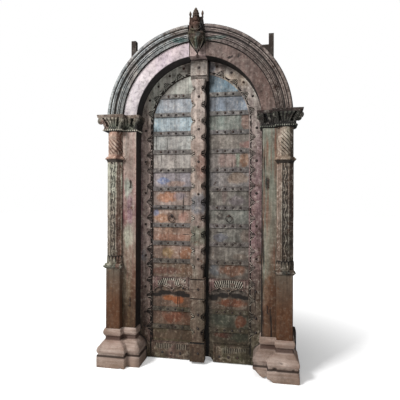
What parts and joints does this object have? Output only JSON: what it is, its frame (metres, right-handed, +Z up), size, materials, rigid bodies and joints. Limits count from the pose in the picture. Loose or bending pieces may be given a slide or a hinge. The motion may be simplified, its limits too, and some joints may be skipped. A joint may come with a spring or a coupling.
{
  "type": "arched double door",
  "caption": "Arched carved double door of studded planks, hung on pivots in a portal frame with columns, capitals and a moulded arch, on moulded stone bases.",
  "frame": {"origin": "on the floor, in the middle of the frame's width and of the stone bases' depth", "axes": "+X to the right as seen from the front, +Y into the building, +Z up; the carved front faces -Y"},
  "size_m": [1.936, 0.44, 3.361],
  "materials": {
    "stone": "matte",
    "jamb_paint": "matte",
    "column_paint": "matte",
    "bare_wood": "matte",
    "capital_paint": "matte",
    "whitewash": "matte",
    "arch_paint": "matte",
    "moulding_paint": "matte",
    "figure_wood": "matte",
    "rear_timber": "matte",
    "plank_paint": "matte",
    "border_paint": "matte",
    "batten_wood": "matte",
    "mullion_paint": "matte",
    "iron": "matte"
  },
  "bodies": {
    "frame": {"left_stone_base": "stone", "right_stone_base": "stone", "left_jamb": "jamb_paint", "right_jamb": "jamb_paint", "left_pedestal": "bare_wood", "right_pedestal": "bare_wood", "left_belt": "column_paint", "right_belt": "column_paint", "left_shaft": "column_paint", "right_shaft": "column_paint", "left_ring_moulding": "column_paint", "right_ring_moulding": "column_paint", "left_neck": "column_paint", "right_neck": "column_paint", "left_capital": "capital_paint", "right_capital": "capital_paint", "left_fascia": "whitewash", "right_fascia": "arch_paint", "left_lower_archivolt": "moulding_paint", "left_upper_archivolt": "moulding_paint", "right_upper_archivolt": "moulding_paint", "right_lower_archivolt": "moulding_paint", "keystone": "arch_paint", "keystone_figure": "figure_wood", "left_rear_post": "rear_timber", "right_rear_post": "rear_timber", "rear_cross_rail": "rear_timber", "left_pivot_bracket": "rear_timber", "right_pivot_bracket": "rear_timber", "floor_sockets": "rear_timber", "jamb_hooks": "iron"},
    "right_leaf": {"right_outer_board": "plank_paint", "right_middle_board": "plank_paint", "right_inner_board": "plank_paint", "right_pivot_stile": "rear_timber", "right_border_stile": "border_paint", "right_arch_rail": "border_paint", "right_bead": "border_paint", "right_cusped_bracket": "border_paint", "right_bottom_rail": "border_paint", "right_battens": "batten_wood", "right_studs": "iron", "right_back_rails": "rear_timber", "right_ring_staple": "iron"},
    "left_leaf": {"left_outer_board": "plank_paint", "left_middle_board": "plank_paint", "left_inner_board": "plank_paint", "left_pivot_stile": "rear_timber", "left_border_stile": "border_paint", "left_arch_rail": "border_paint", "left_bead": "border_paint", "left_cusped_bracket": "border_paint", "left_bottom_rail": "border_paint", "left_battens": "batten_wood", "left_studs": "iron", "left_back_rails": "rear_timber", "left_ring_staple": "iron", "mullion": "mullion_paint"},
    "right_ring": {"right_pull_ring": "iron"},
    "left_ring": {"left_pull_ring": "iron"}
  },
  "joints": [
    {"name": "right_leaf_swing", "type": "hinge", "parent": "frame", "child": "right_leaf", "pos_m": [0.6125, 0.155, 0.1], "axis": [0, 0, -1], "range_deg": [0, 120]},
    {"name": "left_leaf_swing", "type": "hinge", "parent": "frame", "child": "left_leaf", "pos_m": [-0.6125, 0.155, 0.1], "axis": [0, 0, 1], "range_deg": [0, 90]},
    {"name": "right_ring_swing", "type": "hinge", "parent": "right_leaf", "child": "right_ring", "pos_m": [0.288, 0.089, 1.432], "axis": [-1, 0, 0], "range_deg": [0, 160]},
    {"name": "left_ring_swing", "type": "hinge", "parent": "left_leaf", "child": "left_ring", "pos_m": [-0.288, 0.089, 1.427], "axis": [-1, 0, 0], "range_deg": [0, 160]}
  ],
  "couplings": [
    {"joint": "left_leaf_swing", "follows": "right_leaf_swing", "ratio": 0.75}
  ]
}
